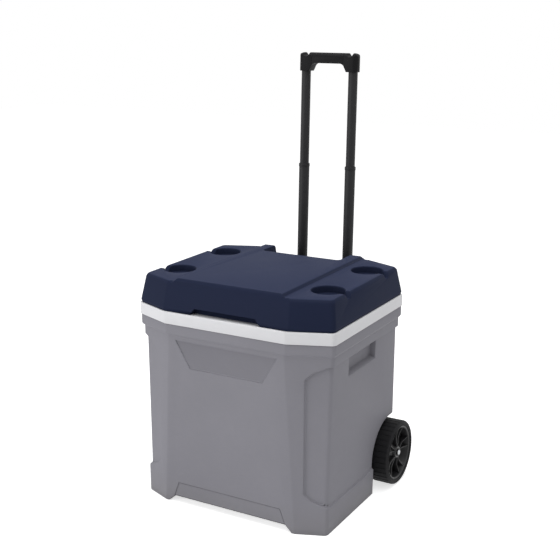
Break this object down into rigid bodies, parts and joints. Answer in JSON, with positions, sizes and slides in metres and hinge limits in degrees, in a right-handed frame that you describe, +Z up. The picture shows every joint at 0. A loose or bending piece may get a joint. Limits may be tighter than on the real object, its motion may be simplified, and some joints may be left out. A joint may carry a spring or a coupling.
{
  "type": "wheeled cooler",
  "caption": "Hard-sided insulated cooler with hinged lid, cup holders moulded in the lid, rear wheels on an axle and a telescoping pull handle.",
  "frame": {"origin": "on the ground, under the middle of the object's overall box", "axes": "+X to the cooler's right seen from the front, +Y to the back where the pull handle and wheels are, +Z up"},
  "size_m": [0.53, 0.505, 0.9997],
  "materials": {
    "body_plastic": "moulded, fine matt grain",
    "lid_plastic": "moulded, fine matt grain",
    "liner_plastic": "moulded, semi-gloss",
    "black_plastic": "moulded, satin",
    "wheel_plastic": "moulded, satin",
    "tyre": "moulded tread",
    "handle_tube": "black anodised, satin",
    "steel": "zinc plated",
    "nylon": "moulded",
    "seal_rubber": "matt",
    "foam": "rigid foam"
  },
  "bodies": {
    "cooler": {"outer_shell": "body_plastic", "foam_core": "foam", "inner_liner": "liner_plastic", "handle_housing": "black_plastic", "housing_screws": "steel", "guide_collars": "black_plastic", "axle": "steel", "axle_clips": "black_plastic", "axle_clip_screws": "steel", "wheel_washers": "nylon", "axle_caps": "steel", "hinge_body_leaves": "liner_plastic", "hinge_body_screws": "steel", "hinge_pins": "steel", "drain_fitting": "liner_plastic", "drain_seal": "seal_rubber", "drain_nut": "liner_plastic"},
    "lid": {"lid_shell": "lid_plastic", "lid_foam": "foam", "lid_liner": "liner_plastic", "hinge_lid_leaves": "liner_plastic", "hinge_lid_screws": "steel"},
    "lower_stage": {"lower_tube_left": "handle_tube", "lower_tube_right": "handle_tube", "stage_collars": "black_plastic", "lower_yoke": "black_plastic", "yoke_screws": "steel"},
    "upper_stage": {"upper_tube_left": "handle_tube", "upper_tube_right": "handle_tube", "upper_tube_plugs": "nylon", "grip_bracket_left": "black_plastic", "grip_bracket_right": "black_plastic", "grip_front": "black_plastic", "grip_back": "black_plastic", "grip_screws": "steel"},
    "wheel_right": {"wheel_right_hub": "wheel_plastic", "wheel_right_tyre": "tyre", "wheel_right_bush": "nylon"},
    "wheel_left": {"wheel_left_hub": "wheel_plastic", "wheel_left_tyre": "tyre", "wheel_left_bush": "nylon"},
    "drain_cap": {"drain_cap": "black_plastic", "drain_cap_seal": "seal_rubber"}
  },
  "joints": [
    {"name": "lid_hinge", "type": "hinge", "parent": "cooler", "child": "lid", "pos_m": [0, 0.18175, 0.462], "axis": [-1, 0, 0], "range_deg": [0, 64]},
    {"name": "lower_stage_slide", "type": "slide", "parent": "cooler", "child": "lower_stage", "axis": [0, 0.0379, 0.9993], "range_m": [-0.267, 0]},
    {"name": "upper_stage_slide", "type": "slide", "parent": "lower_stage", "child": "upper_stage", "axis": [0, 0.0379, 0.9993], "range_m": [-0.2232, 0]},
    {"name": "wheel_right_spin", "type": "hinge", "parent": "cooler", "child": "wheel_right", "pos_m": [0.239, 0.10595, 0.077], "axis": [1, 0, 0], "continuous": true},
    {"name": "wheel_left_spin", "type": "hinge", "parent": "cooler", "child": "wheel_left", "pos_m": [-0.239, 0.10595, 0.077], "axis": [1, 0, 0], "continuous": true},
    {"name": "drain_cap_turn", "type": "hinge", "parent": "cooler", "child": "drain_cap", "pos_m": [-0.24, -0.09805, 0.108], "axis": [-1, 0, 0], "range_deg": [0, 360]}
  ]
}
